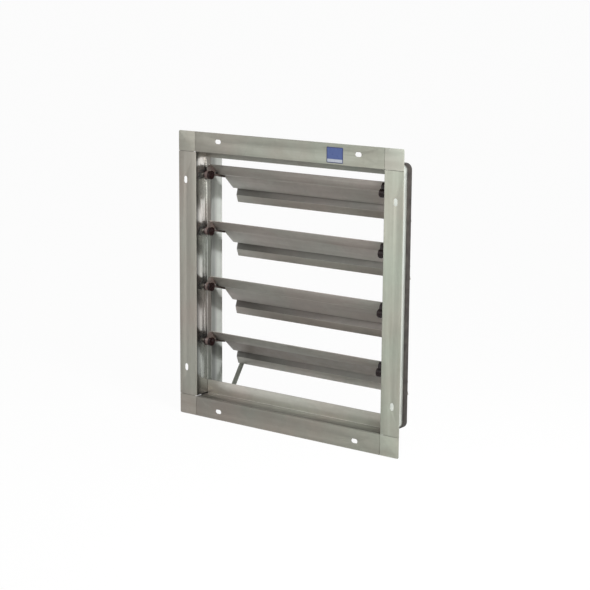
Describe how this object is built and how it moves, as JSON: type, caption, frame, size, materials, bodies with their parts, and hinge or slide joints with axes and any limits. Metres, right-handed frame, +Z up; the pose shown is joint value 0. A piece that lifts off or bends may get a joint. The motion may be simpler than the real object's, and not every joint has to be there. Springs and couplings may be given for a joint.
{
  "type": "gravity backdraft damper",
  "caption": "Square sheet-metal duct damper: slotted flange, short sleeve, and folded blades on plastic pivots that air swings open and gravity shuts.",
  "frame": {"origin": "middle of the opening, in the plane of the flange's front face", "axes": "+X along the blades, +Y back through the opening with the air, +Z up"},
  "size_m": [0.4, 0.0919, 0.43],
  "materials": {
    "galvanised_sheet": "galvanised sheet, mill finish with soft vertical streaks",
    "blade_sheet": "mill-finish folded sheet, dull",
    "pivot_plastic": "moulded, very dark reddish brown",
    "edge_band": "dark strip round the rear end",
    "pin_steel": "zinc-plated rivet pins",
    "label_film": "plain blue film with a pale lower band, no lettering"
  },
  "bodies": {
    "frame": {"head_rail": "galvanised_sheet", "sill_rail": "galvanised_sheet", "left_jamb_rail": "galvanised_sheet", "right_jamb_rail": "galvanised_sheet", "top_right_corner": "galvanised_sheet", "top_left_corner": "galvanised_sheet", "bottom_right_corner": "galvanised_sheet", "bottom_left_corner": "galvanised_sheet", "casing_sleeve": "galvanised_sheet", "rear_edge_band": "edge_band", "left_pivot_pins": "pin_steel", "right_pivot_pins": "pin_steel", "stay_bracket": "galvanised_sheet", "stay_pin": "pin_steel", "blank_label": "label_film"},
    "top_blade": {"blade_1": "blade_sheet", "blade_1_left_pivot": "pivot_plastic", "blade_1_right_pivot": "pivot_plastic"},
    "second_blade": {"blade_2": "blade_sheet", "blade_2_left_pivot": "pivot_plastic", "blade_2_right_pivot": "pivot_plastic"},
    "third_blade": {"blade_3": "blade_sheet", "blade_3_left_pivot": "pivot_plastic", "blade_3_right_pivot": "pivot_plastic"},
    "bottom_blade": {"blade_4": "blade_sheet", "blade_4_left_pivot": "pivot_plastic", "blade_4_right_pivot": "pivot_plastic"},
    "stay": {"stay_bar": "galvanised_sheet"}
  },
  "joints": [
    {"name": "top_blade_hinge", "type": "hinge", "parent": "frame", "child": "top_blade", "pos_m": [0, 0.019, 0.1499], "axis": [1, 0, 0], "range_deg": [-43.2, 3.8]},
    {"name": "second_blade_hinge", "type": "hinge", "parent": "frame", "child": "second_blade", "pos_m": [0, 0.019, 0.0659], "axis": [1, 0, 0], "range_deg": [-44.4, 2.6]},
    {"name": "third_blade_hinge", "type": "hinge", "parent": "frame", "child": "third_blade", "pos_m": [0, 0.019, -0.0181], "axis": [1, 0, 0], "range_deg": [-40.1, 6.9]},
    {"name": "bottom_blade_hinge", "type": "hinge", "parent": "frame", "child": "bottom_blade", "pos_m": [0, 0.019, -0.1021], "axis": [1, 0, 0], "range_deg": [-44.4, 2.6]},
    {"name": "stay_hinge", "type": "hinge", "parent": "frame", "child": "stay", "pos_m": [-0.153, 0.06789, -0.1817], "axis": [1, 0, 0], "range_deg": [-120, 0]}
  ]
}
